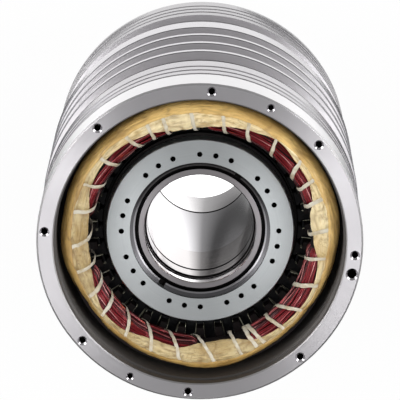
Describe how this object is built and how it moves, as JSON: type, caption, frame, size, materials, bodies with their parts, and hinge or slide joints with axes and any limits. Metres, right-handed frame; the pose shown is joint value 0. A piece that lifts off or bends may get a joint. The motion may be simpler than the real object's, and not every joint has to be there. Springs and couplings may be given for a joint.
{
  "type": "frameless motor",
  "caption": "Frameless spindle motor: wound stator in a grooved cooling jacket, with a hollow cage rotor on a sleeve.",
  "frame": {"origin": "centre of the jacket's rear face, on the motor axis", "axes": "+Z along the motor axis from the rear face to the front face, +Y towards the top of the front face"},
  "size_m": [0.252, 0.252, 0.344],
  "materials": {
    "jacket_steel": "turned, bright",
    "lamination_steel": "varnished dark",
    "slot_paper": "varnished paper",
    "wedge_laminate": "dark glass laminate",
    "enamelled_wire": "red enamel over copper",
    "wrap_sheet": "varnished insulation sheet",
    "lacing_cord": "flat woven cord",
    "cage_copper": "turned copper",
    "disc_steel": "ground, satin",
    "ring_steel": "turned, darkened",
    "sleeve_steel": "ground and polished"
  },
  "bodies": {
    "stator": {"cooling_jacket": "jacket_steel", "stator_core": "lamination_steel", "slot_liners": "slot_paper", "slot_wedges": "wedge_laminate", "phase_u_coil_sides": "enamelled_wire", "phase_v_coil_sides": "enamelled_wire", "phase_w_coil_sides": "enamelled_wire", "front_end_laminate": "wedge_laminate", "front_hidden_coil_ends": "enamelled_wire", "front_open_coil_ends": "enamelled_wire", "front_head_wrap": "wrap_sheet", "front_lacing": "lacing_cord", "rear_end_laminate": "wedge_laminate", "rear_hidden_coil_ends": "enamelled_wire", "rear_open_coil_ends": "enamelled_wire", "rear_head_wrap": "wrap_sheet", "rear_lacing": "lacing_cord"},
    "rotor": {"rotor_core": "lamination_steel", "rotor_bars": "cage_copper", "rotor_sleeve": "sleeve_steel", "front_short_circuit_ring": "cage_copper", "front_balancing_disc": "disc_steel", "front_lock_ring": "ring_steel", "rear_short_circuit_ring": "cage_copper", "rear_balancing_disc": "disc_steel", "rear_lock_ring": "ring_steel"}
  },
  "joints": [
    {"name": "rotor_spin", "type": "hinge", "parent": "stator", "child": "rotor", "pos_m": [0, 0, 0.172], "axis": [0, 0, 1], "continuous": true}
  ]
}
